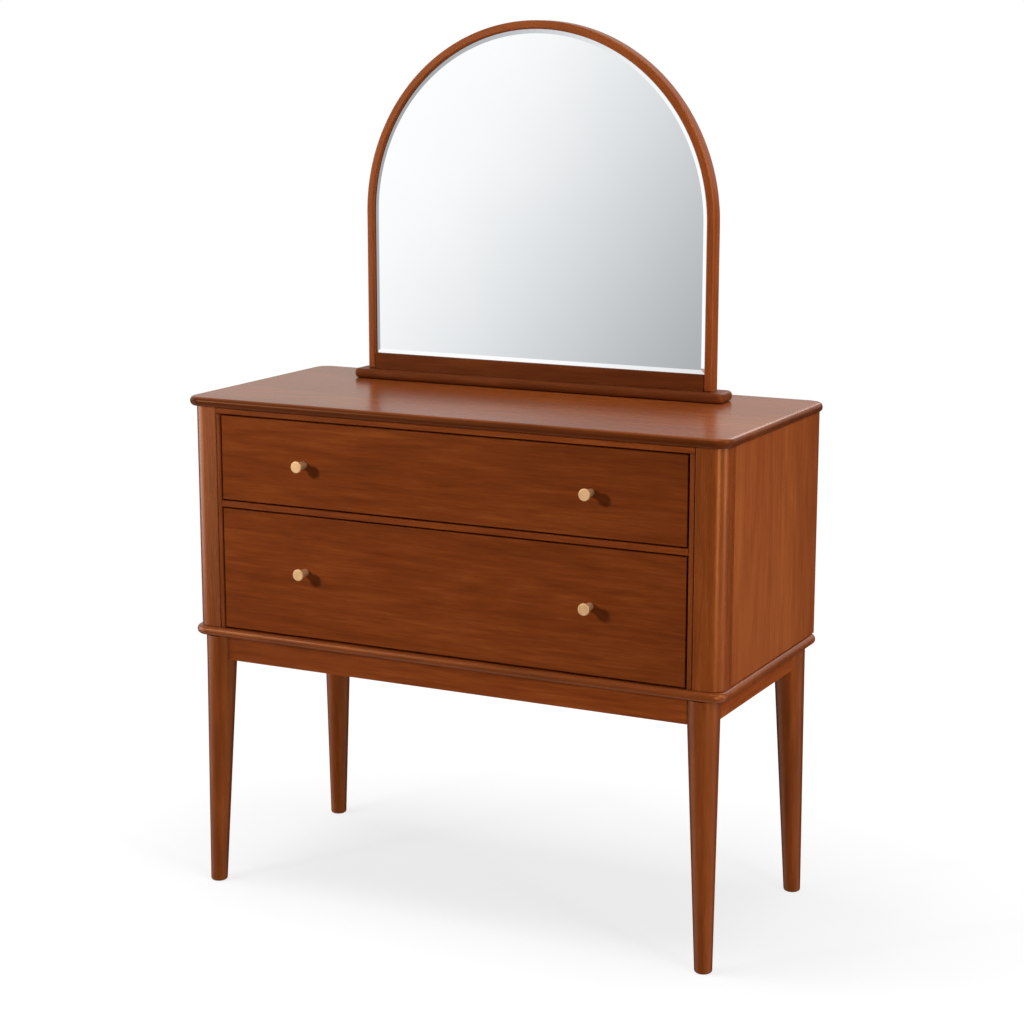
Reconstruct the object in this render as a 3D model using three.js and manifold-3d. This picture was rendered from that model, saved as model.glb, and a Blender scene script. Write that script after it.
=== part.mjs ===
// Dresser with an arched mirror: a two-drawer chest on four turned legs, with a fixed mirror on its top.
// Millimetres, +Z up, front towards -Y. The origin is on the floor, under the middle of the whole object.
import * as THREE from 'three';
import { mergeVertices } from 'three/addons/utils/BufferGeometryUtils.js';
import Module from 'manifold-3d';

const wasm = await Module();
wasm.setup();

// Carcass
const carcassWidth = 900;
const carcassDepth = 396;
const legHeight = 415;
const bottomBoardThickness = 15;
const topPanelThickness = 15;
const bottomOverhang = 7;
const topOverhang = 9;
const bottomPlanRadius = 24;
const topPlanRadius = 26;
const boardEdgeRadius = 7;
const panelThickness = 18;
const postWidth = 44;
const postDepth = 44;
const postCornerRadius = 21;
const beadGroove = 1;
const beadGrooveDepth = 5;
const stileWidth = 7.5;
const stileDepth = 20;
const topRailHeight = 9.7;
const midRailHeight = 10;
const railDepth = 60;
const rearRailHeight = 26;
const rearRailThickness = 18;
const backPanelThickness = 6;
const backPanelInset = 6;
const easedEdge = 1;

// Drawers
const upperFrontHeight = 133;
const lowerFrontHeight = 192.3;
const frontThickness = 19;
const drawerSideThickness = 12;
const drawerBottomThickness = 6;
const drawerBottomRise = 9;
const drawerGrooveDepth = 5;
const drawerSideDrop = 4;
const drawerSideInset = 1;
const drawerBackGap = 8;
const runnerReach = 22;
const guideHeight = 20;

// Knobs and their screws
const knobSpacing = 488;
const lowerKnobRise = 8;
const knobHeadRadius = 9.2;
const knobHeadLength = 5;
const knobEdgeRadius = 0.9;
const knobNeckRadius = 6.2;
const knobFootRadius = 5.8;
const knobLength = 24;
const screwRadius = 2;
const screwGrip = 9;
const screwHeadRadius = 4.2;
const screwHeadHeight = 2.4;

// Base
const legTopRadius = 24;
const footRadius = 13.4;
const footEdgeRadius = 4;
const legSplay = 10;
const legInsetX = 32.5;
const legInsetY = 19.5;
const apronHeight = 39.5;
const apronThickness = 22;
const apronProud = 12;
const cornerBlockLeg = 70;
const cornerBlockHeight = 30;

// Mirror
const plinthWidth = 656;
const plinthDepth = 54;
const plinthThickness = 16;
const plinthPlanRadius = 12;
const plinthEdgeRadius = 6;
const plinthSetback = 61;
const mirrorWidth = 612;
const mirrorUprightHeight = 256.5;
const mirrorFrameFace = 13.5;
const mirrorFrameDepth = 26;
const mirrorFrameEdge = 3;
const mirrorBottomRailHeight = 26;
const mirrorLip = 5;
const rebateWidth = 6;
const glassThickness = 5;
const glassEdgeThickness = 3;
const glassBevelWidth = 12;
const glassClearance = 0.5;
const backingThickness = 4;
const boltSpacing = 400;
const boltRadius = 3;
const boltHeadRadius = 7;
const boltHeadHeight = 4;
const boltGrip = 13;

// Clearances
const jointGap = 0.3;
const frontGap = 2.5;
const slideGap = 0.3;
const guideGap = 1;
const kickerGap = 2;
const holeClearance = 0.4;
const cutOverrun = 2;

// Facet counts
const legSides = 32;
const cornerSteps = 8;
const edgeSteps = 4;
const knobSides = 28;
const screwSides = 12;
const archSteps = 40;
const fineSteps = 2;

// Heights, from the floor up
const boardTopZ = legHeight + bottomBoardThickness;
const lowerFrontZ = boardTopZ + frontGap;
const midRailZ = lowerFrontZ + lowerFrontHeight + frontGap;
const midRailTopZ = midRailZ + midRailHeight;
const upperFrontZ = midRailTopZ + frontGap;
const topRailZ = upperFrontZ + upperFrontHeight + frontGap;
const topUnderZ = topRailZ + topRailHeight;
const tableZ = topUnderZ + topPanelThickness;
const plinthTopZ = tableZ + plinthThickness;

// Places across the width, each one side of the middle
const halfWidth = carcassWidth / 2;
const panelInnerX = halfWidth - panelThickness;
const postInnerX = halfWidth - postWidth;
const stileOuterX = postInnerX - beadGroove;
const stileInnerX = stileOuterX - stileWidth;
const frontHalfWidth = stileInnerX - frontGap;
const sideOuterX = frontHalfWidth - drawerSideInset;
const sideInnerX = sideOuterX - drawerSideThickness;
const runnerInnerX = sideOuterX - runnerReach;
const guideX = sideOuterX + guideGap;
const legX = halfWidth - legInsetX;

// Places from front to back
const frontY = -carcassDepth / 2;
const backY = carcassDepth / 2;
const postBackY = frontY + postDepth;
const railBackY = frontY + railDepth;
const backPanelY = backY - backPanelInset - backPanelThickness;
const rearRailY = backPanelY - rearRailThickness;
const frontBackY = frontY + frontThickness;
const drawerEndY = rearRailY - drawerBackGap;
const legY = backY - legInsetY;
const plinthY = backY + topOverhang - plinthSetback - plinthDepth / 2;
const mirrorFrontY = plinthY - mirrorFrameDepth / 2;

// Materials
function wood(color) {
  return new THREE.MeshStandardMaterial({ color, roughness: 0.42, metalness: 0 });
}

const colors = {
  top: 0x8f5433,
  front: 0x77381a,
  case: 0x8a4726,
  leg: 0x864322,
  frame: 0x7d3d20,
  inside: 0xc39a6b,
  ply: 0xcaa778,
};

function brass() {
  return new THREE.MeshStandardMaterial({ color: 0xc9a26a, roughness: 0.32, metalness: 1 });
}

function steel() {
  return new THREE.MeshStandardMaterial({ color: 0x9a9a9c, roughness: 0.4, metalness: 1 });
}

function mirrorGlass() {
  return new THREE.MeshStandardMaterial({ color: 0xdfe4e8, roughness: 0.04, metalness: 1 });
}

// Shape helpers
function piece(name, geometry, material, x = 0, y = 0, z = 0) {
  const mesh = new THREE.Mesh(geometry, material);
  mesh.name = name;
  mesh.position.set(x, y, z);
  return mesh;
}

function middle(span) {
  return (span[0] + span[1]) / 2;
}

function length(span) {
  return span[1] - span[0];
}

// A plain board between two limits on each axis.
function board(name, material, xs, ys, zs) {
  const geometry = new THREE.BoxGeometry(length(xs), length(ys), length(zs));
  return piece(name, geometry, material, middle(xs), middle(ys), middle(zs));
}

function mirrored(side, span) {
  return side < 0 ? [-span[1], -span[0]] : span;
}

// Outline of a rectangle with round corners, centred on zero.
function roundedRectangle(width, depth, radius) {
  const shape = new THREE.Shape();
  const x = width / 2 - radius;
  const y = depth / 2 - radius;
  shape.absarc(x, y, radius, 0, Math.PI / 2);
  shape.absarc(-x, y, radius, Math.PI / 2, Math.PI);
  shape.absarc(-x, -y, radius, Math.PI, 1.5 * Math.PI);
  shape.absarc(x, -y, radius, 1.5 * Math.PI, 2 * Math.PI);
  return shape;
}

function rectangle(width, depth) {
  const shape = new THREE.Shape();
  shape.moveTo(-width / 2, -depth / 2);
  shape.lineTo(width / 2, -depth / 2);
  shape.lineTo(width / 2, depth / 2);
  shape.lineTo(-width / 2, depth / 2);
  shape.closePath();
  return shape;
}

// Extrusion along +Z from zero whose two end faces have round edges.
function softExtrude(shape, height, edge, steps, curveSegments) {
  const geometry = new THREE.ExtrudeGeometry(shape, {
    depth: height - 2 * edge,
    curveSegments,
    bevelEnabled: true,
    bevelThickness: edge,
    bevelSize: edge,
    bevelOffset: -edge,
    bevelSegments: steps,
  });
  geometry.translate(0, 0, edge);
  return geometry;
}

function plainExtrude(shape, height, curveSegments = cornerSteps) {
  return new THREE.ExtrudeGeometry(shape, { depth: height, curveSegments, bevelEnabled: false });
}

// Turns an outline drawn in X and Z, extruded along +Y, to its place.
function standUp(geometry) {
  geometry.rotateX(Math.PI / 2);
  geometry.scale(1, -1, 1);
  flipFaces(geometry);
  return geometry;
}

function flipFaces(geometry) {
  const position = geometry.getAttribute('position');
  const array = position.array;
  const corner = position.itemSize;
  const face = 3 * corner;
  if (geometry.index) {
    const index = geometry.index.array;
    for (let i = 0; i < index.length; i += 3) {
      [index[i], index[i + 1]] = [index[i + 1], index[i]];
    }
    return;
  }
  for (let i = 0; i < array.length; i += face) {
    for (let k = 0; k < corner; k += 1) {
      [array[i + k], array[i + corner + k]] = [array[i + corner + k], array[i + k]];
    }
  }
}

// Boolean helpers
function toSolid(geometry) {
  const plain = geometry.clone();
  plain.deleteAttribute('normal');
  plain.deleteAttribute('uv');
  const merged = mergeVertices(plain);
  return new wasm.Manifold(
    new wasm.Mesh({
      numProp: 3,
      vertProperties: new Float32Array(merged.getAttribute('position').array),
      triVerts: new Uint32Array(merged.index.array),
    }),
  );
}

function toGeometry(solid) {
  const mesh = solid.getMesh();
  const geometry = new THREE.BufferGeometry();
  geometry.setAttribute('position', new THREE.BufferAttribute(new Float32Array(mesh.vertProperties), 3));
  geometry.setIndex(new THREE.BufferAttribute(new Uint32Array(mesh.triVerts), 1));
  const flat = geometry.toNonIndexed();
  flat.computeVertexNormals();
  return flat;
}

function cut(geometry, cutters) {
  let solid = toSolid(geometry);
  for (const cutter of cutters) {
    solid = solid.subtract(toSolid(cutter));
  }
  return toGeometry(solid);
}

function boxBetween(xs, ys, zs) {
  const geometry = new THREE.BoxGeometry(length(xs), length(ys), length(zs));
  geometry.translate(middle(xs), middle(ys), middle(zs));
  return geometry;
}

function uprightCylinder(x, y, radius, zs, sides) {
  const geometry = new THREE.CylinderGeometry(radius, radius, length(zs), sides);
  geometry.rotateX(Math.PI / 2);
  geometry.translate(x, y, middle(zs));
  return geometry;
}

// Top and bottom boards
function bottomBoard() {
  const shape = roundedRectangle(
    carcassWidth + 2 * bottomOverhang,
    carcassDepth + 2 * bottomOverhang,
    bottomPlanRadius,
  );
  const geometry = softExtrude(shape, bottomBoardThickness, boardEdgeRadius, edgeSteps, cornerSteps);
  return piece('bottom_board', geometry, wood(colors.case), 0, 0, legHeight);
}

function topPanel() {
  const shape = roundedRectangle(
    carcassWidth + 2 * topOverhang,
    carcassDepth + 2 * topOverhang,
    topPlanRadius,
  );
  const slab = softExtrude(shape, topPanelThickness, boardEdgeRadius, edgeSteps, cornerSteps);
  const through = [-cutOverrun, topPanelThickness + cutOverrun];
  return piece('top_panel', cut(slab, boltHoles(plinthY, through)), wood(colors.top), 0, 0, topUnderZ);
}

function boltHoles(y, zs) {
  const radius = boltRadius + holeClearance;
  return [-1, 1].map((side) => uprightCylinder((side * boltSpacing) / 2, y, radius, zs, screwSides));
}

// Carcass
function cornerPost(side) {
  const shape = new THREE.Shape();
  const inner = -postWidth;
  const tongue = -postWidth - beadGroove + jointGap;
  const arcX = -postCornerRadius;
  const arcY = postCornerRadius;
  shape.moveTo(inner + easedEdge, 0);
  shape.lineTo(arcX, 0);
  shape.absarc(arcX, arcY, postCornerRadius, -Math.PI / 2, 0);
  shape.lineTo(0, postDepth);
  shape.lineTo(tongue, postDepth);
  shape.lineTo(tongue, beadGrooveDepth);
  shape.lineTo(inner, beadGrooveDepth);
  shape.lineTo(inner, easedEdge);
  shape.closePath();
  const height = topUnderZ - boardTopZ - 2 * jointGap;
  const geometry = plainExtrude(shape, height, 2 * cornerSteps);
  if (side < 0) {
    geometry.scale(-1, 1, 1);
    flipFaces(geometry);
  }
  const name = side < 0 ? 'left_corner_post' : 'right_corner_post';
  return piece(name, geometry, wood(colors.case), side * halfWidth, frontY, boardTopZ + jointGap);
}

function faceStile(side) {
  const shape = new THREE.Shape();
  const half = (stileWidth - jointGap) / 2;
  shape.moveTo(-half + easedEdge, 0);
  shape.lineTo(half - easedEdge, 0);
  shape.lineTo(half, easedEdge);
  shape.lineTo(half, stileDepth);
  shape.lineTo(-half, stileDepth);
  shape.lineTo(-half, easedEdge);
  shape.closePath();
  const geometry = plainExtrude(shape, topRailZ - boardTopZ - 2 * jointGap);
  const x = side * middle([stileInnerX, stileOuterX]);
  const name = side < 0 ? 'left_face_stile' : 'right_face_stile';
  return piece(name, geometry, wood(colors.case), x, frontY, boardTopZ + jointGap);
}

function sidePanel(side) {
  const name = side < 0 ? 'left_side_panel' : 'right_side_panel';
  const xs = mirrored(side, [panelInnerX, halfWidth]);
  return board(name, wood(colors.case), xs, [postBackY + jointGap, backY], standingHeight());
}

function standingHeight() {
  return [boardTopZ + jointGap, topUnderZ - jointGap];
}

// A rail with its two long front edges eased.
function easedRail(name, halfLength, depth, zs) {
  const height = length(zs);
  const shape = new THREE.Shape();
  shape.moveTo(easedEdge, 0);
  shape.lineTo(depth, 0);
  shape.lineTo(depth, height);
  shape.lineTo(easedEdge, height);
  shape.lineTo(0, height - easedEdge);
  shape.lineTo(0, easedEdge);
  shape.closePath();
  const geometry = plainExtrude(shape, 2 * halfLength);
  geometry.rotateX(Math.PI / 2);
  geometry.rotateZ(Math.PI / 2);
  return piece(name, geometry, wood(colors.case), -halfLength, frontY, zs[0]);
}

function topRail() {
  return easedRail('top_rail', stileOuterX, railDepth, [topRailZ, topUnderZ - jointGap]);
}

function midRail() {
  return easedRail('mid_rail', stileInnerX - jointGap, railDepth, [midRailZ, midRailTopZ]);
}

function backPanel() {
  const reach = panelInnerX - jointGap;
  const ys = [backPanelY, backPanelY + backPanelThickness];
  return board('back_panel', wood(colors.ply), [-reach, reach], ys, standingHeight());
}

function rearRail() {
  const reach = panelInnerX - jointGap;
  const ys = [rearRailY, backPanelY - jointGap];
  const zs = [topUnderZ - rearRailHeight, topUnderZ - jointGap];
  return board('rear_rail', wood(colors.inside), [-reach, reach], ys, zs);
}

// Drawer runners, guides and kickers inside the carcass
function upperRunner(side) {
  const shape = new THREE.Shape();
  const wallX = panelInnerX - jointGap;
  shape.moveTo(runnerInnerX, 0);
  shape.lineTo(wallX, 0);
  shape.lineTo(wallX, midRailHeight + guideHeight);
  shape.lineTo(guideX, midRailHeight + guideHeight);
  shape.lineTo(guideX, midRailHeight);
  shape.lineTo(runnerInnerX, midRailHeight);
  shape.closePath();
  const startY = railBackY + jointGap;
  const geometry = standUp(plainExtrude(shape, backPanelY - jointGap - startY));
  if (side < 0) {
    geometry.scale(-1, 1, 1);
    flipFaces(geometry);
  }
  const name = side < 0 ? 'upper_left_runner' : 'upper_right_runner';
  return piece(name, geometry, wood(colors.inside), 0, startY, midRailZ);
}

function lowerGuide(side) {
  const name = side < 0 ? 'lower_left_guide' : 'lower_right_guide';
  const xs = mirrored(side, [guideX, panelInnerX - jointGap]);
  const ys = [postBackY + jointGap, backPanelY - jointGap];
  const zs = [boardTopZ + jointGap, boardTopZ + guideHeight];
  return board(name, wood(colors.inside), xs, ys, zs);
}

function upperKicker(side) {
  const name = side < 0 ? 'upper_left_kicker' : 'upper_right_kicker';
  const xs = mirrored(side, [runnerInnerX, panelInnerX - jointGap]);
  const ys = [railBackY + jointGap, rearRailY - jointGap];
  const sideTopZ = upperFrontZ + upperFrontHeight - drawerSideDrop;
  const zs = [sideTopZ + kickerGap, topUnderZ - jointGap];
  return board(name, wood(colors.inside), xs, ys, zs);
}

// Drawers
function drawer(level, frontZ, frontHeight, railZ, knobZ) {
  const sideZ = railZ + slideGap;
  const sideTopZ = frontZ + frontHeight - drawerSideDrop;
  const panelZ = sideZ + drawerBottomRise;
  const panelTopZ = panelZ + drawerBottomThickness;
  const group = new THREE.Group();
  group.add(drawerFront(level, frontZ, frontHeight, [panelZ, panelTopZ], knobZ));
  for (const side of [-1, 1]) {
    group.add(drawerSide(level, side, sideZ, sideTopZ));
    group.add(drawerKnob(level, side, knobZ));
    group.add(knobScrew(level, side, knobZ));
  }
  const backReach = sideInnerX - jointGap;
  group.add(board(
    `${level}_drawer_back`,
    wood(colors.inside),
    [-backReach, backReach],
    [drawerEndY - drawerSideThickness, drawerEndY],
    [panelTopZ + jointGap, sideTopZ],
  ));
  const panelReach = sideInnerX + drawerGrooveDepth - jointGap;
  group.add(board(
    `${level}_drawer_bottom`,
    wood(colors.ply),
    [-panelReach, panelReach],
    [frontBackY - drawerGrooveDepth + jointGap, drawerEndY],
    [panelZ, panelTopZ],
  ));
  return group;
}

function drawerFront(level, frontZ, frontHeight, panelZs, knobZ) {
  const shape = rectangle(2 * frontHalfWidth, frontHeight);
  const slab = softExtrude(shape, frontThickness, easedEdge, fineSteps, fineSteps);
  standUp(slab);
  slab.translate(0, 0, frontHeight / 2);
  const grooveReach = sideInnerX + drawerGrooveDepth;
  const groove = boxBetween(
    [-grooveReach, grooveReach],
    [frontThickness - drawerGrooveDepth, frontThickness + cutOverrun],
    [panelZs[0] - frontZ - jointGap, panelZs[1] - frontZ + jointGap],
  );
  const holes = [-1, 1].map((side) => {
    const hole = new THREE.CylinderGeometry(
      screwRadius + holeClearance,
      screwRadius + holeClearance,
      frontThickness + 2 * cutOverrun,
      screwSides,
    );
    hole.translate((side * knobSpacing) / 2, frontThickness / 2, knobZ - frontZ);
    return hole;
  });
  const geometry = cut(slab, [groove, ...holes]);
  return piece(`${level}_drawer_front`, geometry, wood(colors.front), 0, frontY, frontZ);
}

// A drawer side with the groove that holds the drawer's bottom.
function drawerSide(level, side, sideZ, sideTopZ) {
  const shape = new THREE.Shape();
  const grooveX = sideInnerX + drawerGrooveDepth;
  const grooveLow = drawerBottomRise - jointGap;
  const grooveHigh = drawerBottomRise + drawerBottomThickness + jointGap;
  shape.moveTo(sideInnerX, 0);
  shape.lineTo(sideOuterX, 0);
  shape.lineTo(sideOuterX, sideTopZ - sideZ);
  shape.lineTo(sideInnerX, sideTopZ - sideZ);
  shape.lineTo(sideInnerX, grooveHigh);
  shape.lineTo(grooveX, grooveHigh);
  shape.lineTo(grooveX, grooveLow);
  shape.lineTo(sideInnerX, grooveLow);
  shape.closePath();
  const startY = frontBackY + jointGap;
  const geometry = standUp(plainExtrude(shape, drawerEndY - startY));
  if (side < 0) {
    geometry.scale(-1, 1, 1);
    flipFaces(geometry);
  }
  const name = `${level}_drawer_${side < 0 ? 'left' : 'right'}_side`;
  return piece(name, geometry, wood(colors.inside), 0, startY, sideZ);
}

// A solid turned about an axis that runs along -Y, from a profile of [radius, distance] pairs.
function turnedForward(points, sides) {
  const geometry = new THREE.LatheGeometry(points.map(([r, d]) => new THREE.Vector2(r, d)), sides);
  geometry.rotateZ(Math.PI);
  return geometry;
}

function drawerKnob(level, side, knobZ) {
  const holeRadius = screwRadius + holeClearance;
  const holeDepth = screwGrip + jointGap;
  const headStart = knobLength - knobHeadLength;
  const points = [
    [0, holeDepth],
    [holeRadius, holeDepth],
    [holeRadius, 0],
    [knobFootRadius, 0],
    [knobNeckRadius, headStart],
    [knobHeadRadius - knobEdgeRadius, headStart],
    [knobHeadRadius, headStart + knobEdgeRadius],
    [knobHeadRadius, knobLength - knobEdgeRadius],
    [knobHeadRadius - knobEdgeRadius, knobLength],
    [0, knobLength],
  ];
  const name = `${level}_drawer_${side < 0 ? 'left' : 'right'}_knob`;
  const x = (side * knobSpacing) / 2;
  return piece(name, turnedForward(points, knobSides), brass(), x, frontY - jointGap, knobZ);
}

function knobScrew(level, side, knobZ) {
  const shankEnd = frontThickness + screwGrip;
  const points = [
    [0, -screwHeadHeight],
    [screwHeadRadius, -screwHeadHeight],
    [screwHeadRadius, 0],
    [screwRadius, 0],
    [screwRadius, shankEnd],
    [0, shankEnd],
  ];
  const name = `${level}_drawer_${side < 0 ? 'left' : 'right'}_knob_screw`;
  const x = (side * knobSpacing) / 2;
  return piece(name, turnedForward(points, screwSides), steel(), x, frontBackY + jointGap, knobZ);
}

// Base: turned legs, aprons and corner blocks
function leg(name, sideX, sideY) {
  const top = legHeight - jointGap;
  const straight = legHeight - apronHeight;
  const slope = (legTopRadius - footRadius) / straight;
  const points = [new THREE.Vector2(0, 0)];
  for (let i = 0; i <= edgeSteps; i += 1) {
    const angle = (i / edgeSteps) * (Math.PI / 2);
    const z = footEdgeRadius * (1 - Math.cos(angle));
    const inset = footEdgeRadius * (1 - Math.sin(angle));
    points.push(new THREE.Vector2(footRadius + slope * z - inset, z));
  }
  points.push(new THREE.Vector2(legTopRadius, straight));
  points.push(new THREE.Vector2(legTopRadius, top));
  points.push(new THREE.Vector2(0, top));
  const geometry = new THREE.LatheGeometry(points, legSides);
  geometry.rotateX(Math.PI / 2);
  const position = geometry.getAttribute('position');
  for (let i = 0; i < position.count; i += 1) {
    const lean = Math.max(0, 1 - position.getZ(i) / straight) * legSplay;
    position.setX(i, position.getX(i) + sideX * lean);
    position.setY(i, position.getY(i) + sideY * lean);
  }
  geometry.computeVertexNormals();
  return piece(name, geometry, wood(colors.leg), sideX * legX, sideY * legY, 0);
}

function legCutters(zs) {
  const cutters = [];
  for (const sideX of [-1, 1]) {
    for (const sideY of [-1, 1]) {
      cutters.push(uprightCylinder(sideX * legX, sideY * legY, legTopRadius + jointGap, zs, legSides));
    }
  }
  return cutters;
}

function apron(name, xs, ys) {
  const zs = [legHeight - apronHeight, legHeight - jointGap];
  const cutterZs = [zs[0] - cutOverrun, zs[1] + cutOverrun];
  return piece(name, cut(boxBetween(xs, ys, zs), legCutters(cutterZs)), wood(colors.case));
}

function aprons() {
  const outX = legX + apronProud;
  const outY = legY + apronProud;
  const across = [-legX, legX];
  const along = [-legY, legY];
  return [
    apron('front_apron', across, mirrored(-1, [outY - apronThickness, outY])),
    apron('back_apron', across, [outY - apronThickness, outY]),
    apron('left_apron', mirrored(-1, [outX - apronThickness, outX]), along),
    apron('right_apron', [outX - apronThickness, outX], along),
  ];
}

// A three-sided glue block in a corner of the base frame, hollowed where the leg passes.
function cornerBlock(name, sideX, sideY) {
  const cornerX = legX + apronProud - apronThickness - jointGap;
  const cornerY = legY + apronProud - apronThickness - jointGap;
  const shape = new THREE.Shape();
  shape.moveTo(cornerX, cornerY);
  shape.lineTo(cornerX - cornerBlockLeg, cornerY);
  shape.lineTo(cornerX, cornerY - cornerBlockLeg);
  shape.closePath();
  const geometry = plainExtrude(shape, cornerBlockHeight);
  geometry.scale(sideX, sideY, 1);
  if (sideX * sideY < 0) {
    flipFaces(geometry);
  }
  const z = legHeight - jointGap - cornerBlockHeight;
  const cutterZs = [-cutOverrun, cornerBlockHeight + cutOverrun];
  return piece(name, cut(geometry, legCutters(cutterZs)), wood(colors.inside), 0, 0, z);
}

// Mirror
function mirrorPlinth() {
  const shape = roundedRectangle(plinthWidth, plinthDepth, plinthPlanRadius);
  const bar = softExtrude(shape, plinthThickness - jointGap, plinthEdgeRadius, edgeSteps, cornerSteps);
  const through = [-cutOverrun, plinthThickness + cutOverrun];
  return piece('mirror_plinth', cut(bar, boltHoles(0, through)), wood(colors.frame), 0, plinthY, tableZ + jointGap);
}

// Arched outline: upright sides from a low edge to the spring line, and a half circle above.
function archOutline(halfSpan, lowZ, springZ) {
  const shape = new THREE.Shape();
  shape.moveTo(-halfSpan, lowZ);
  shape.lineTo(halfSpan, lowZ);
  shape.absarc(0, springZ, halfSpan, 0, Math.PI);
  shape.closePath();
  return shape;
}

const frameOuter = mirrorWidth / 2;
const sightHalf = frameOuter - mirrorFrameFace;
const rebateHalf = sightHalf + rebateWidth;
const sightLowZ = mirrorBottomRailHeight;
const rebateLowZ = sightLowZ - rebateWidth;

function mirrorRebate() {
  const outline = archOutline(rebateHalf, rebateLowZ, mirrorUprightHeight);
  const rebate = standUp(plainExtrude(outline, mirrorFrameDepth, archSteps));
  rebate.translate(0, mirrorLip, 0);
  return rebate;
}

function mirrorArch() {
  const shape = new THREE.Shape();
  shape.moveTo(sightHalf, 0);
  shape.lineTo(frameOuter, 0);
  shape.absarc(0, mirrorUprightHeight, frameOuter, 0, Math.PI);
  shape.lineTo(-frameOuter, 0);
  shape.lineTo(-sightHalf, 0);
  shape.absarc(0, mirrorUprightHeight, sightHalf, Math.PI, 0, true);
  shape.closePath();
  const band = standUp(softExtrude(shape, mirrorFrameDepth, mirrorFrameEdge, fineSteps, archSteps));
  const geometry = cut(band, [mirrorRebate()]);
  return piece('mirror_frame_arch', geometry, wood(colors.frame), 0, mirrorFrontY, plinthTopZ + jointGap);
}

function mirrorBottomRail() {
  const reach = sightHalf - jointGap;
  const rail = boxBetween([-reach, reach], [0, mirrorFrameDepth], [0, mirrorBottomRailHeight]);
  const holes = boltHoles(mirrorFrameDepth / 2, [-cutOverrun, boltGrip + 2 * jointGap]);
  const geometry = cut(rail, [mirrorRebate(), ...holes]);
  return piece('mirror_frame_bottom_rail', geometry, wood(colors.frame), 0, mirrorFrontY, plinthTopZ + jointGap);
}

// Closed solid through two or more outlines of equal point count, each at its own depth along Y.
function stackedOutlines(layers) {
  const positions = [];
  const add = (layer, point) => positions.push(point.x, layer.y, point.y);
  const count = layers[0].points.length;
  for (let k = 0; k + 1 < layers.length; k += 1) {
    const near = layers[k];
    const far = layers[k + 1];
    for (let i = 0; i < count; i += 1) {
      const j = (i + 1) % count;
      add(near, near.points[i]);
      add(near, near.points[j]);
      add(far, far.points[j]);
      add(near, near.points[i]);
      add(far, far.points[j]);
      add(far, far.points[i]);
    }
  }
  const first = layers[0];
  const last = layers[layers.length - 1];
  for (const [a, b, c] of THREE.ShapeUtils.triangulateShape(first.points, [])) {
    [a, c, b].forEach((i) => add(first, first.points[i]));
  }
  for (const [a, b, c] of THREE.ShapeUtils.triangulateShape(last.points, [])) {
    [a, b, c].forEach((i) => add(last, last.points[i]));
  }
  const geometry = new THREE.BufferGeometry();
  geometry.setAttribute('position', new THREE.Float32BufferAttribute(positions, 3));
  geometry.computeVertexNormals();
  return geometry;
}

function archPoints(halfSpan, lowZ) {
  const points = archOutline(halfSpan, lowZ, mirrorUprightHeight).getPoints(archSteps);
  if (points[0].equals(points[points.length - 1])) {
    points.pop();
  }
  return points;
}

function mirrorGlassPanel() {
  const half = rebateHalf - glassClearance;
  const low = rebateLowZ + glassClearance;
  const inner = archPoints(half - glassBevelWidth, low + glassBevelWidth);
  const outer = archPoints(half, low);
  const geometry = stackedOutlines([
    { points: outer, y: glassThickness },
    { points: outer, y: glassThickness - glassEdgeThickness },
    { points: inner, y: 0 },
  ]);
  const y = mirrorFrontY + mirrorLip + jointGap;
  return piece('mirror_glass', geometry, mirrorGlass(), 0, y, plinthTopZ + jointGap);
}

function mirrorBacking() {
  const outline = archOutline(rebateHalf - glassClearance, rebateLowZ + glassClearance, mirrorUprightHeight);
  const geometry = standUp(plainExtrude(outline, backingThickness, archSteps));
  const y = mirrorFrontY + mirrorLip + glassThickness + 2 * jointGap;
  return piece('mirror_backing_board', geometry, wood(colors.ply), 0, y, plinthTopZ + jointGap);
}

// A bolt from under the top, through the plinth, into the mirror's bottom rail.
function mirrorBolt(side) {
  const shankEnd = jointGap + topPanelThickness + plinthThickness + boltGrip;
  const points = [
    [0, -boltHeadHeight],
    [boltHeadRadius, -boltHeadHeight],
    [boltHeadRadius, 0],
    [boltRadius, 0],
    [boltRadius, shankEnd],
    [0, shankEnd],
  ];
  const geometry = new THREE.LatheGeometry(points.map(([r, z]) => new THREE.Vector2(r, z)), screwSides);
  geometry.rotateX(Math.PI / 2);
  const name = side < 0 ? 'left_mirror_bolt' : 'right_mirror_bolt';
  return piece(name, geometry, steel(), (side * boltSpacing) / 2, plinthY, topUnderZ - jointGap);
}

// Assembly
const group = new THREE.Group();
group.name = 'dresser_with_mirror';
// The knobs stand further forward than the top stands back, so the dresser moves back by half of that.
group.position.y = (knobLength - topOverhang + jointGap) / 2;

group.add(topPanel(), bottomBoard(), topRail(), midRail(), rearRail(), backPanel());
for (const side of [-1, 1]) {
  group.add(cornerPost(side), faceStile(side), sidePanel(side));
  group.add(upperRunner(side), lowerGuide(side), upperKicker(side));
  group.add(mirrorBolt(side));
}
group.add(...aprons());
for (const [depthName, sideY] of [['front', -1], ['back', 1]]) {
  for (const [widthName, sideX] of [['left', -1], ['right', 1]]) {
    group.add(leg(`${depthName}_${widthName}_leg`, sideX, sideY));
    group.add(cornerBlock(`${depthName}_${widthName}_corner_block`, sideX, sideY));
  }
}
group.add(mirrorPlinth(), mirrorArch(), mirrorBottomRail(), mirrorGlassPanel(), mirrorBacking());

const upperKnobZ = upperFrontZ + upperFrontHeight / 2;
const lowerKnobZ = lowerFrontZ + lowerFrontHeight / 2 + lowerKnobRise;
group.add(drawer('upper', upperFrontZ, upperFrontHeight, midRailTopZ, upperKnobZ));
group.add(drawer('lower', lowerFrontZ, lowerFrontHeight, boardTopZ, lowerKnobZ));

export default group;
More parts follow.
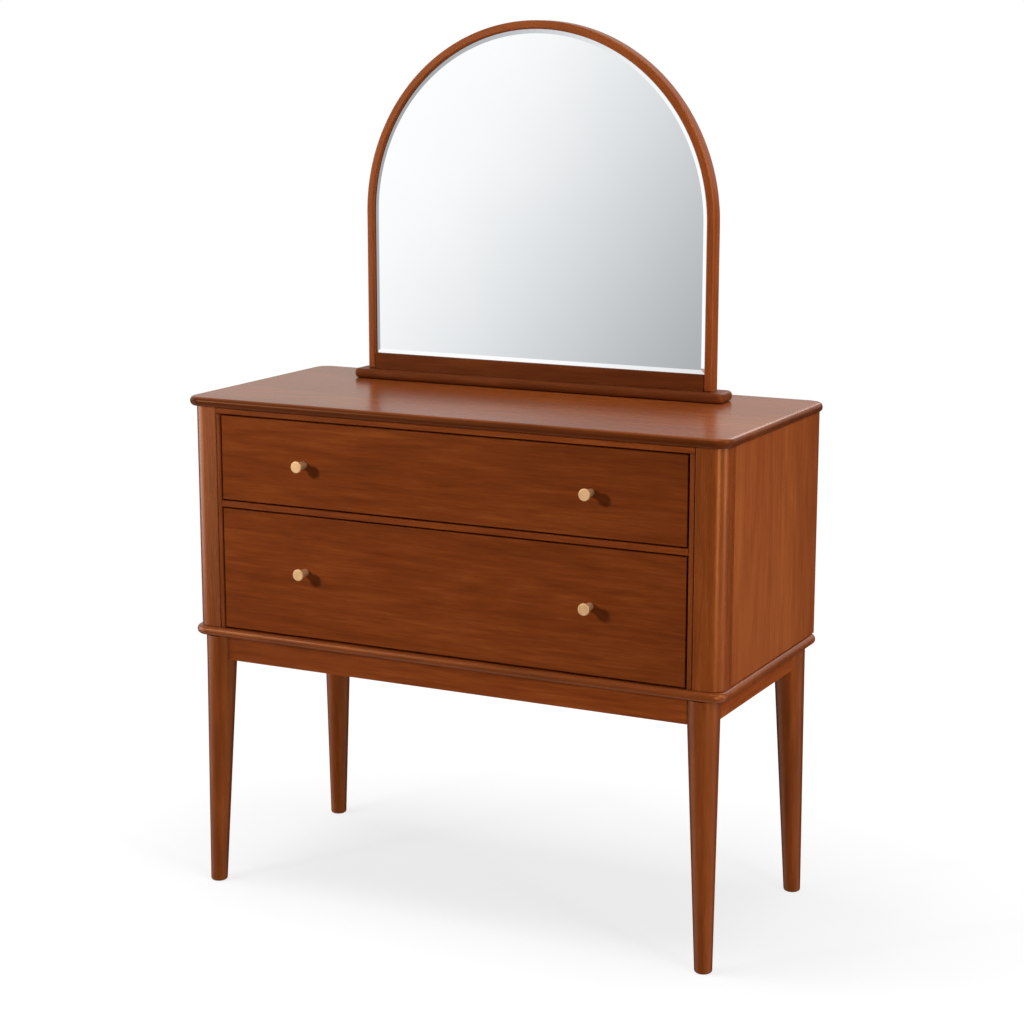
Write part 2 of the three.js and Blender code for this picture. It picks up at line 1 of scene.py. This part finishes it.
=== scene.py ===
"""Looks of the dresser with mirror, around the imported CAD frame. Metres, row frame, front towards -Y."""

import math

import bmesh
import bpy
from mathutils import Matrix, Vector


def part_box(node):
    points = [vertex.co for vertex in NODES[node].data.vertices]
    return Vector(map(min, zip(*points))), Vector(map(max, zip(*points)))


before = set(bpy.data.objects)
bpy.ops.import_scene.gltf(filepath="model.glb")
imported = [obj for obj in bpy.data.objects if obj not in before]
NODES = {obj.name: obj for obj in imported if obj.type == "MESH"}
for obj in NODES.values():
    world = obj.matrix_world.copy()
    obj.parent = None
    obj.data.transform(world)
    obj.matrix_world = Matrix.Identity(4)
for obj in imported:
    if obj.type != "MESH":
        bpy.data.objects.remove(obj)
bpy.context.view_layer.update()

# The mirror's arch, as its CAD node gives it
ARCH_LOW, ARCH_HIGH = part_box("mirror_frame_arch")
ARCH_RADIUS = (ARCH_HIGH.x - ARCH_LOW.x) / 2
ARCH_CENTRE_Z = ARCH_HIGH.z - ARCH_RADIUS


def srgb(r, g, b):
    """A colour written in 0 to 255 display values, as the linear one that nodes take."""
    def channel(value):
        c = value / 255
        return c / 12.92 if c <= 0.04045 else ((c + 0.055) / 1.055) ** 2.4
    return (channel(r), channel(g), channel(b), 1.0)


NOISE_MIDDLE = 0.5


class Graph:
    """Short names for building a node tree."""

    def __init__(self, tree):
        self.tree = tree
        self.nodes = tree.nodes
        self.nodes.clear()

    def add(self, kind, **settings):
        node = self.nodes.new(kind)
        for key, value in settings.items():
            setattr(node, key, value)
        return node

    def put(self, socket, value):
        if isinstance(value, bpy.types.NodeSocket):
            self.tree.links.new(value, socket)
        else:
            socket.default_value = value

    def object_place(self):
        return self.add("ShaderNodeTexCoord").outputs["Object"]

    def split(self, vector):
        node = self.add("ShaderNodeSeparateXYZ")
        self.put(node.inputs[0], vector)
        return node.outputs

    def math(self, operation, a, b=0.0, c=0.0):
        node = self.add("ShaderNodeMath", operation=operation)
        for socket, value in zip(node.inputs, (a, b, c)):
            self.put(socket, value)
        return node.outputs[0]

    def vector_math(self, operation, *values):
        node = self.add("ShaderNodeVectorMath", operation=operation)
        for socket, value in zip(node.inputs, values):
            self.put(socket, value)
        return node.outputs

    def product(self, first, *others):
        for other in others:
            first = self.math("MULTIPLY", first, other)
        return first

    def vary(self, value, noise, amount):
        """value raised and lowered with a noise about its middle."""
        return self.math("MULTIPLY_ADD", self.math("SUBTRACT", noise, NOISE_MIDDLE), amount, value)

    def less(self, value, share, *where):
        """value with this share of it taken off where all of the others are 1."""
        return self.math("MULTIPLY", value, self.math("MULTIPLY_ADD", self.product(*where), -share, 1.0))

    def ramp(self, value, low, high):
        """value between low and high as 0 to 1, smoothed."""
        node = self.add("ShaderNodeMapRange", interpolation_type="SMOOTHSTEP")
        self.put(node.inputs["Value"], value)
        self.put(node.inputs["From Min"], low)
        self.put(node.inputs["From Max"], high)
        return node.outputs["Result"]

    def noise(self, vector, scale, detail, roughness, distortion=0.0):
        node = self.add("ShaderNodeTexNoise")
        self.put(node.inputs["Vector"], vector)
        self.put(node.inputs["Scale"], scale)
        self.put(node.inputs["Detail"], detail)
        self.put(node.inputs["Roughness"], roughness)
        self.put(node.inputs["Distortion"], distortion)
        return node.outputs[0]

    def colours(self, value, stops):
        node = self.add("ShaderNodeValToRGB")
        self.put(node.inputs[0], value)
        elements = node.color_ramp.elements
        while len(elements) < len(stops):
            elements.new(0.5)
        for element, (place, colour) in zip(elements, stops):
            element.position = place
            element.color = colour
        return node.outputs[0]

    def mix(self, factor, a, b, blend="MIX"):
        node = self.add("ShaderNodeMix", data_type="RGBA", blend_type=blend)
        self.put(node.inputs["Factor"], factor)
        self.put(node.inputs["A"], a)
        self.put(node.inputs["B"], b)
        return node.outputs["Result"]

    def bump(self, height, distance, strength):
        node = self.add("ShaderNodeBump")
        self.put(node.inputs["Height"], height)
        self.put(node.inputs["Distance"], distance)
        self.put(node.inputs["Strength"], strength)
        return node.outputs[0]

    def shader(self, **values):
        node = self.add("ShaderNodeBsdfPrincipled")
        for key, value in values.items():
            self.put(node.inputs[key.replace("_", " ")], value)
        output = self.add("ShaderNodeOutputMaterial")
        self.tree.links.new(node.outputs[0], output.inputs["Surface"])

    def mix_shaders(self, factor, a, b):
        node = self.add("ShaderNodeMixShader")
        for socket, value in zip(node.inputs, (factor, a, b)):
            self.put(socket, value)
        return node.outputs[0]

    def diffuse(self, shade):
        node = self.add("ShaderNodeBsdfDiffuse")
        self.put(node.inputs["Color"], (shade, shade, shade, 1))
        return node.outputs[0]


def new_material(name):
    material = bpy.data.materials.new(name)
    material.use_nodes = True
    return material, Graph(material.node_tree)


# Wood. The grain runs along one axis of the object, or follows the mirror's arch. Each layer of the figure is
# a noise: its scale along and across the grain, its place in the pattern, and its detail, roughness and bend.
LAYERS = {
    "drift": (1.3, 7.0, 0.0, 2.0, 0.5, 0.2),
    "rings": (0.55, 6.5, 3.0, 2.0, 0.5, 0.1),
    "streaks": (7.0, 95.0, 5.0, 3.0, 0.62, 0.3),
    "flecks": (20.0, 230.0, 7.0, 2.0, 0.6, 0.2),
    "fibres": (26.0, 700.0, 9.0, 2.0, 0.6, 0.0),
    "pores": (70.0, 1500.0, 11.0, 1.0, 0.5, 0.0),
}
WEIGHTS = {"drift": 0.8, "rings": 0.14, "streaks": 0.9, "flecks": 0.5, "fibres": 0.25}
FINE_LAYERS = ("streaks", "flecks", "fibres")
MIDDLE_TONE = 0.5
PIECE_STEP = 7.31             # how far one piece's pattern lies from the next one's
RING_COUNT = 34.0
PORE_LIMITS = (0.60, 0.72)    # noise over which a pore opens
PORE_TONE = 0.25              # share of the dark tone in an open pore
PORE_DEPTH = -0.6
GRAIN_BUMP = 0.3
TONE_PLACES = (0.12, 0.5, 0.88)
FACES_UP = (0.4, 0.95)        # the normal's z over which a face counts as the board's top, spared the painted shade
SHEEN = srgb(255, 168, 104)   # tint of the gloss


def along_axis(graph, axis):
    """Object coordinates turned so that the first runs with the grain."""
    parts = graph.split(graph.object_place())
    order = {"X": (0, 1, 2), "Y": (1, 0, 2), "Z": (2, 0, 1)}[axis]
    return [parts[i] for i in order]


def along_arch(graph):
    """The length round the arch, the distance from its centre, and the depth."""
    across, depth, height = along_axis(graph, "X")
    rise = graph.math("SUBTRACT", height, ARCH_CENTRE_Z)
    above = graph.math("MAXIMUM", rise, 0.0)
    below = graph.math("MINIMUM", rise, 0.0)
    squares = graph.math("ADD", graph.product(across, across), graph.product(above, above))
    radius = graph.math("SQRT", squares)
    round_arch = graph.product(graph.math("ARCTAN2", above, across), ARCH_RADIUS)
    upright = graph.product(graph.math("SIGN", across), below)
    return [graph.math("ADD", round_arch, upright), radius, depth]


def layer(graph, parts, name, seed):
    along, across, place, detail, roughness, bend = LAYERS[name]
    node = graph.add("ShaderNodeCombineXYZ")
    for socket, part, scale in zip(node.inputs, parts, (along, across, across)):
        graph.put(socket, graph.math("MULTIPLY_ADD", part, scale, (seed + place) * PIECE_STEP))
    return graph.noise(node.outputs[0], 1.0, detail, roughness, bend)


def wood(name, grain, seed, tones, roughness, gloss, figure=0.75, relief=0.0001, uneven=0.16, fine=1.0,
         edge=None):
    """Stained or bare wood. tones are its dark, middle and light colours, figure and fine the strengths of
    the whole figure and of its fine layers, relief the depth of the fibres in metres, uneven the spread of
    the roughness, and edge a painted shade, a darker tint on the faces that aren't turned up."""
    material, g = new_material(name)
    parts = along_arch(g) if grain == "ARCH" else along_axis(g, grain)
    layers = {key: layer(g, parts, key, seed) for key in LAYERS}
    layers["rings"] = g.math("PINGPONG", g.product(layers["rings"], RING_COUNT), 1.0)
    pores = g.ramp(layers["pores"], *PORE_LIMITS)
    tone = MIDDLE_TONE
    for key, weight in WEIGHTS.items():
        share = fine if key in FINE_LAYERS else 1.0
        tone = g.vary(tone, layers[key], weight * share * figure)
    colour = g.colours(tone, list(zip(TONE_PLACES, tones)))
    colour = g.mix(g.product(pores, PORE_TONE * fine), colour, tones[0])
    # Painted shade: the edge tint darkens every face that isn't turned up, standing in for shade
    if edge:
        facing = g.split(g.add("ShaderNodeNewGeometry").outputs["Normal"])
        side_shaded = g.mix(1.0, colour, edge, "MULTIPLY")
        colour = g.mix(g.ramp(facing[2], *FACES_UP), side_shaded, colour)
    height = g.math("MULTIPLY_ADD", pores, PORE_DEPTH, layers["fibres"])
    g.shader(Base_Color=colour, Roughness=g.vary(roughness, layers["fibres"], uneven),
             Normal=g.bump(height, relief, GRAIN_BUMP), Specular_IOR_Level=gloss, Specular_Tint=SHEEN)
    return material


def finish(dark, middle, light, **coat):
    """A wood's three tones in display values, and its lacquer."""
    return {"tones": (srgb(*dark), srgb(*middle), srgb(*light)), **coat}


LEG_WOOD = finish((75, 30, 8), (101, 45, 13), (124, 61, 22), roughness=0.31, gloss=0.5)
POST_WOOD = finish((77, 30, 8), (103, 46, 13), (127, 61, 22), roughness=0.27, gloss=0.5)
STILE_WOOD = finish((75, 30, 9), (100, 45, 16), (124, 61, 25), roughness=0.42, gloss=0.10)
FRONT_WOOD = finish((84, 34, 9), (113, 51, 17), (139, 70, 28), roughness=0.42, gloss=0.10)
ARCH_WOOD = finish((88, 36, 11), (118, 55, 20), (144, 74, 31), roughness=0.36, gloss=0.42)
RAIL_WOOD = finish((70, 30, 11), (94, 44, 18), (118, 61, 28), roughness=0.42, gloss=0.10)
# The side panels' paler green and blue, on top of the wood's own tone, stand in for a sheen: a painted sheen
SIDE_WOOD = finish((86, 38, 13), (114, 56, 25), (139, 76, 37), roughness=0.42, gloss=0.03, fine=0.6)
# The top's tones are lighter than the fronts' partly to stand in for light from above, a painted light, and
# its edge tint darkens the faces that aren't turned up, a painted shade
TOP_WOOD = finish((102, 44, 15), (140, 69, 28), (165, 90, 42), roughness=0.27, gloss=0.18,
                  relief=0.000004, uneven=0.02, fine=0.45, edge=(0.56, 0.5, 0.44, 1))
PALE_WOOD = finish((168, 126, 82), (196, 156, 108), (214, 178, 130), roughness=0.6, gloss=0.2, figure=0.6)
PLYWOOD = finish((182, 142, 98), (206, 170, 124), (220, 188, 146), roughness=0.6, gloss=0.2, figure=0.6)


# Metal and glass, both lightly clouded
CLOUD_DETAIL = 3.0
TINT_PLACES = (0.3, 0.7)
BRUSHING = {"scale": 2600.0, "detail": 2.0, "roughness": 0.6}
BRUSHING_DEPTH = 0.00002
BRUSHING_BUMP = 0.5
RIM_TILT = 0.6
GLASS_FRONT = (0.0, -1.0, 0.0)


def brushed(graph):
    return graph.bump(graph.noise(graph.object_place(), **BRUSHING), BRUSHING_DEPTH, BRUSHING_BUMP)


def tilted_rim(graph):
    """The front, with the glass's bevelled rim tilted towards the middle, to mirror as a prism does."""
    normal = graph.add("ShaderNodeNewGeometry").outputs["Normal"]
    tilted = graph.vector_math("MULTIPLY_ADD", normal, (-RIM_TILT, 0.0, -RIM_TILT), GLASS_FRONT)[0]
    return graph.vector_math("NORMALIZE", tilted)[0]


def clouded(name, scale, noise_roughness, tints, smoothest, spread, metallic=1.0, normal=None):
    """A mirroring surface. Its tint and its roughness, from the smoothest on, follow a cloudy noise."""
    material, g = new_material(name)
    cloud = g.noise(g.object_place(), scale, CLOUD_DETAIL, noise_roughness)
    colour = g.colours(cloud, [(place, srgb(*tint)) for place, tint in zip(TINT_PLACES, tints)])
    values = {"Normal": normal(g)} if normal else {}
    g.shader(Base_Color=colour, Metallic=metallic, Roughness=g.math("MULTIPLY_ADD", cloud, spread, smoothest),
             **values)
    return material


# The CAD nodes' finishes: the grain's direction, the finish and the nodes that have both
WOODEN = (
    ("X", TOP_WOOD, ["top_panel"]),
    ("X", LEG_WOOD, ["bottom_board"]),
    ("Z", LEG_WOOD, ["front_left_leg", "front_right_leg", "back_left_leg", "back_right_leg"]),
    ("Z", SIDE_WOOD, ["left_side_panel", "right_side_panel"]),
    ("Z", POST_WOOD, ["left_corner_post", "right_corner_post"]),
    ("Z", STILE_WOOD, ["left_face_stile", "right_face_stile"]),
    ("X", FRONT_WOOD, ["top_rail", "mid_rail", "front_apron", "back_apron",
                       "upper_drawer_front", "lower_drawer_front"]),
    ("Y", FRONT_WOOD, ["left_apron", "right_apron"]),
    ("X", RAIL_WOOD, ["mirror_plinth", "mirror_frame_bottom_rail"]),
    ("ARCH", ARCH_WOOD, ["mirror_frame_arch"]),
    ("X", PALE_WOOD, ["rear_rail", "upper_drawer_back", "lower_drawer_back",
                      "front_left_corner_block", "front_right_corner_block",
                      "back_left_corner_block", "back_right_corner_block"]),
    ("Y", PALE_WOOD, ["upper_left_runner", "upper_right_runner", "upper_left_kicker", "upper_right_kicker",
                      "lower_left_guide", "lower_right_guide",
                      "upper_drawer_left_side", "upper_drawer_right_side",
                      "lower_drawer_left_side", "lower_drawer_right_side"]),
    ("X", PLYWOOD, ["back_panel", "upper_drawer_bottom", "lower_drawer_bottom"]),
    ("Z", PLYWOOD, ["mirror_backing_board"]),
)


def paint(name, material):
    node = NODES[name]
    node.data.materials.clear()
    node.data.materials.append(material)


wooden = sorted((name, grain, coat) for grain, coat, names in WOODEN for name in names)
for seed, (name, grain, coat) in enumerate(wooden):
    paint(name, wood(name, grain, seed, **coat))

BRASS = clouded("satin_brass", scale=140.0, noise_roughness=0.6, tints=((198, 154, 106), (214, 170, 124)),
                smoothest=0.44, spread=0.12, metallic=0.7, normal=brushed)
STEEL = clouded("zinc_plated_steel", scale=220.0, noise_roughness=0.6,
                tints=((168, 168, 170), (198, 199, 202)), smoothest=0.26, spread=0.2)
SILVER = clouded("silvered_glass", scale=5.0, noise_roughness=0.55,
                 tints=((250, 252, 253), (253, 254, 255)), smoothest=0.005, spread=0.01, normal=tilted_rim)
for name in NODES:
    if name.endswith("knob"):
        paint(name, BRASS)
    elif name.endswith(("screw", "bolt")):
        paint(name, STEEL)
paint("mirror_glass", SILVER)

# Smooth shading and softly broken edges, on all but the glass
WELD_DISTANCE = 1e-5
FLAT_ANGLE = math.radians(0.4)
SHARP_ANGLE = math.radians(40)
EDGE_WIDTH = 0.0005
METAL_EDGE_WIDTH = 0.0003
EDGE_SEGMENTS = 2
FACE_WEIGHT = 90


def soften(node, width):
    for face in node.data.polygons:
        face.use_smooth = True
    weld = node.modifiers.new("weld", "WELD")
    weld.merge_threshold = WELD_DISTANCE
    flat = node.modifiers.new("flat", "DECIMATE")
    flat.decimate_type = "DISSOLVE"
    flat.angle_limit = FLAT_ANGLE
    bevel = node.modifiers.new("bevel", "BEVEL")
    bevel.width = width
    bevel.segments = EDGE_SEGMENTS
    bevel.limit_method = "ANGLE"
    bevel.angle_limit = SHARP_ANGLE
    bevel.use_clamp_overlap = True
    normals = node.modifiers.new("normals", "WEIGHTED_NORMAL")
    normals.weight = FACE_WEIGHT
    normals.keep_sharp = False


for name, node in NODES.items():
    if name != "mirror_glass":
        soften(node, METAL_EDGE_WIDTH if name.endswith(("screw", "bolt", "knob")) else EDGE_WIDTH)

# Floor. For the camera it adds up to white where no shadow falls: FLOOR_LIGHT is the light that the floor
# lamps give it, as a constant and its change with x, y and the squared distance from the middle. Other
# surfaces are lit by a plain pale floor, and gloss and glass look through it at the room.
FLOOR_RADIUS = 40.0
FLOOR_SIDES = 96
FLOOR_SHADE = 0.26
FLOOR_LIGHT = (0.2132, -0.0061, -0.0320, -0.0293)
FLOOR_FADE = (1.1, 2.0)       # distances over which it turns plain white
FLOOR_BOUNCE = 0.8


def floor_disc():
    mesh = bpy.data.meshes.new("floor")
    form = bmesh.new()
    bmesh.ops.create_circle(form, cap_ends=True, segments=FLOOR_SIDES, radius=FLOOR_RADIUS)
    form.to_mesh(mesh)
    form.free()
    floor = bpy.data.objects.new("floor", mesh)
    bpy.context.scene.collection.objects.link(floor)
    return floor


def floor_material():
    material, g = new_material("floor")
    paths = g.add("ShaderNodeLightPath").outputs
    place = g.object_place()
    distance = g.vector_math("LENGTH", place)["Value"]
    x, y, _ = g.split(place)
    lift = 1.0 - FLOOR_LIGHT[0]
    for part, weight in zip((x, y, g.product(distance, distance)), FLOOR_LIGHT[1:]):
        lift = g.math("MULTIPLY_ADD", part, -weight, lift)
    glow = g.add("ShaderNodeEmission")
    g.put(glow.inputs["Strength"], lift)
    near = g.add("ShaderNodeAddShader")
    g.put(near.inputs[0], g.diffuse(FLOOR_SHADE))
    g.put(near.inputs[1], glow.outputs[0])
    white = g.add("ShaderNodeEmission").outputs[0]
    clear = g.add("ShaderNodeBsdfTransparent").outputs[0]
    seen = g.mix_shaders(g.ramp(distance, *FLOOR_FADE), near.outputs[0], white)
    solid = g.mix_shaders(paths["Is Camera Ray"], g.diffuse(FLOOR_BOUNCE), seen)
    mirrored = g.math("MAXIMUM", paths["Is Glossy Ray"], paths["Is Transmission Ray"])
    output = g.add("ShaderNodeOutputMaterial")
    g.put(output.inputs["Surface"], g.mix_shaders(mirrored, solid, clear))
    return material


FLOOR = floor_disc()
FLOOR.data.materials.append(floor_material())

# World. The camera sees white. Gloss and glass see a white room that is greyer in front, nearly dark low
# behind and dimmer in two other parts. To everything else it gives AMBIENT. x, y and z are those of the
# direction looked in, and each pair of numbers holds the limits of a ramp.
AMBIENT = 0.05
FRONT_STRENGTH = 0.40         # straight in front, where the room is cool too
FRONT_TO_SIDE = (0.26, 0.48)  # of the distance of x from 0, with HEIGHT_SHARE of z
HEIGHT_SHARE = 0.55
FRONT_TO_BACK = (-0.6, -0.2)
LOW_BACK_LOSS = 0.95
LOW_BACK_Z = (0.0, 0.14)
LOW_BACK_Y = (0.2, 0.5)       # of y with LEFT_SHIFT, and RIGHT_SHIFT too where x is over LEFT_TO_RIGHT
LEFT_SHIFT = 0.25
RIGHT_SHIFT = -0.5
LEFT_TO_RIGHT = (-0.2, 0.2)
RIGHT_BACK_LOSS = 0.16
RIGHT_BACK_Y = (0.3, 0.6)
RIGHT_BACK_X = (-0.5, -0.34)
HIGH_FRONT_LOSS = 0.42        # the part that the top panel shows by way of the glass
HIGH_FRONT_Y = (-0.5, -0.7)
HIGH_FRONT_X = (-0.455, -0.41)
HIGH_FRONT_Z = (0.06, 0.16)
WARM_BACK = (0.0, 0.4)
WHITE = (1, 1, 1, 1)
WARM_WHITE = (1.0, 0.97, 0.90, 1)
COOL_GREY = (0.93, 0.97, 1.0, 1)


def studio():
    world = bpy.data.worlds.new("studio")
    world.use_nodes = True
    bpy.context.scene.world = world
    g = Graph(world.node_tree)
    paths = g.add("ShaderNodeLightPath").outputs
    x, y, z = g.split(g.add("ShaderNodeTexCoord").outputs["Generated"])
    from_middle = g.math("MULTIPLY_ADD", z, HEIGHT_SHARE, g.math("ABSOLUTE", x))
    bright = g.math("MAXIMUM", g.ramp(from_middle, *FRONT_TO_SIDE), g.ramp(y, *FRONT_TO_BACK))
    room = g.math("MULTIPLY_ADD", bright, 1.0 - FRONT_STRENGTH, FRONT_STRENGTH)
    right = g.ramp(x, *LEFT_TO_RIGHT)
    behind = g.math("MULTIPLY_ADD", right, RIGHT_SHIFT, g.math("ADD", y, LEFT_SHIFT))
    low = g.math("SUBTRACT", 1.0, g.ramp(z, *LOW_BACK_Z))
    room = g.less(room, LOW_BACK_LOSS, g.ramp(behind, *LOW_BACK_Y), low)
    room = g.less(room, RIGHT_BACK_LOSS, g.ramp(y, *RIGHT_BACK_Y), g.ramp(x, *RIGHT_BACK_X))
    room = g.less(room, HIGH_FRONT_LOSS, g.ramp(y, *HIGH_FRONT_Y), g.ramp(x, *HIGH_FRONT_X),
                  g.ramp(z, *HIGH_FRONT_Z))
    seen = g.math("MAXIMUM", paths["Is Glossy Ray"], paths["Is Transmission Ray"])
    unseen = g.product(g.math("SUBTRACT", 1.0, seen), AMBIENT)
    strength = g.math("MULTIPLY_ADD", seen, room, unseen)
    strength = g.math("MAXIMUM", strength, paths["Is Camera Ray"])
    white = g.mix(g.product(g.ramp(y, *WARM_BACK), seen), WHITE, WARM_WHITE)
    colour = g.mix(g.math("MAXIMUM", bright, paths["Is Camera Ray"]), COOL_GREY, white)
    background = g.add("ShaderNodeBackground")
    g.put(background.inputs["Color"], colour)
    g.put(background.inputs["Strength"], strength)
    output = g.add("ShaderNodeOutputWorld")
    g.put(output.inputs["Surface"], background.outputs[0])


studio()


# Lamps, and the sets of objects that they light
def lit_set(name, state, *objects):
    """A lamp's set that takes in these objects alone, or all but these."""
    chosen = bpy.data.collections.new(name)
    for number, obj in enumerate(objects):
        chosen.objects.link(obj)
        chosen.collection_objects[number].light_linking.link_state = state
    return chosen


# The floor has lamps of its own. The upright lamps leave out the top panel, which would mirror them, and the
# drawer fronts, which have a second main lamp instead, so that each knob has one clear shadow.
GLASS = NODES["mirror_glass"]
FRONTS = [node for name, node in NODES.items() if name.endswith(("drawer_front", "knob"))]
BACK_NAMES = ("back_panel", "mirror_backing_board", "back_apron", "back_left_leg", "back_right_leg")
ON_OBJECT = lit_set("on_object", "EXCLUDE", FLOOR)
ON_WOOD = lit_set("on_wood", "EXCLUDE", FLOOR, GLASS)
ON_UPRIGHTS = lit_set("on_uprights", "EXCLUDE", FLOOR, GLASS, NODES["top_panel"], *FRONTS)
BELOW_ARCH = lit_set("below_arch", "EXCLUDE", FLOOR, NODES["mirror_frame_arch"])
ON_FRONTS = lit_set("on_fronts", "INCLUDE", *FRONTS)
ON_BACK = lit_set("on_back", "INCLUDE", *(NODES[name] for name in BACK_NAMES))
ON_FLOOR = lit_set("on_floor", "INCLUDE", FLOOR)


def soft_box(name, place, target, size, power, lit, height=None):
    """A round soft box, or an upright oblong one where it has a height."""
    data = bpy.data.lights.new(name, "AREA")
    data.shape = "RECTANGLE" if height else "DISK"
    data.size = size
    data.size_y = height or size
    data.energy = power
    lamp = bpy.data.objects.new(name, data)
    lamp.location = place
    lamp.rotation_euler = (Vector(target) - Vector(place)).to_track_quat("-Z", "Y").to_euler()
    lamp.light_linking.receiver_collection = lit
    bpy.context.scene.collection.objects.link(lamp)


def around(azimuth, distance, height):
    """A place by its angle round the dresser: 0 in front, 90 to the right."""
    turn = math.radians(azimuth)
    return (distance * math.sin(turn), -distance * math.cos(turn), height)


# Each lamp: name, place, point that it faces, size, power, set, and height if it is an upright one
MAIN = around(-39, 3.3, 1.8)
GROUND, MIDDLE, TOP, MIRROR = (0, 0, 0), (0, 0, 0.6), (0, 0, 0.8), (0, 0, 1.0)
STRIP = 1.9
soft_box("overhead_back", (0.3, 2.6, 2.6), TOP, 1.6, 28, BELOW_ARCH)
soft_box("overhead", (0.25, -0.5, 2.8), (0.15, -0.1, 0.8), 1.0, 16, ON_WOOD)
soft_box("main", MAIN, MIDDLE, 0.5, 24, ON_WOOD)
soft_box("main_fronts", MAIN, MIDDLE, 0.5, 67, ON_FRONTS)
soft_box("left", around(-64, 2.6, 1.0), MIRROR, 2.1, 55, ON_UPRIGHTS, STRIP)
soft_box("right", around(49, 2.6, 1.0), MIRROR, 0.7, 36, ON_UPRIGHTS, STRIP)
soft_box("right_high", around(85, 2.8, 2.5), MIDDLE, 1.2, 62, ON_OBJECT)
soft_box("right_back", around(98, 3.0, 1.0), MIRROR, 1.0, 24, ON_UPRIGHTS, STRIP)
soft_box("back", around(170, 3.0, 1.4), TOP, 1.2, 26, ON_BACK)
soft_box("floor_right", around(65, 2.8, 1.4), GROUND, 0.4, 12, ON_FLOOR)
soft_box("floor_left", around(-35, 3.0, 1.3), GROUND, 0.3, 14, ON_FLOOR)
soft_box("floor_top_left", (-0.5, -0.15, 2.8), (-0.2, -0.06, 0), 1.4, 30, ON_FLOOR)
soft_box("floor_top_right", (0.5, -0.15, 2.8), (0.2, -0.06, 0), 1.4, 30, ON_FLOOR)
soft_box("floor_top_front", (-1.0, -0.6, 2.8), (-0.4, -0.24, 0), 1.0, 16, ON_FLOOR)

# Camera, as fitted to the photograph
SENSOR_WIDTH = 36
FOCAL_LENGTH = 80.567
CAMERA_PLACE = (1.61858, -3.14281, 1.33553)
CAMERA_TILT = math.radians(90 - 11.434)
CAMERA_TURN = math.radians(26.974)

camera = bpy.data.objects.new("camera", bpy.data.cameras.new("camera"))
camera.data.sensor_width = SENSOR_WIDTH
camera.data.lens = FOCAL_LENGTH
camera.location = CAMERA_PLACE
camera.rotation_euler = (CAMERA_TILT, 0, CAMERA_TURN)
bpy.context.scene.collection.objects.link(camera)
bpy.context.scene.camera = camera
bpy.context.scene.view_settings.view_transform = "Standard"
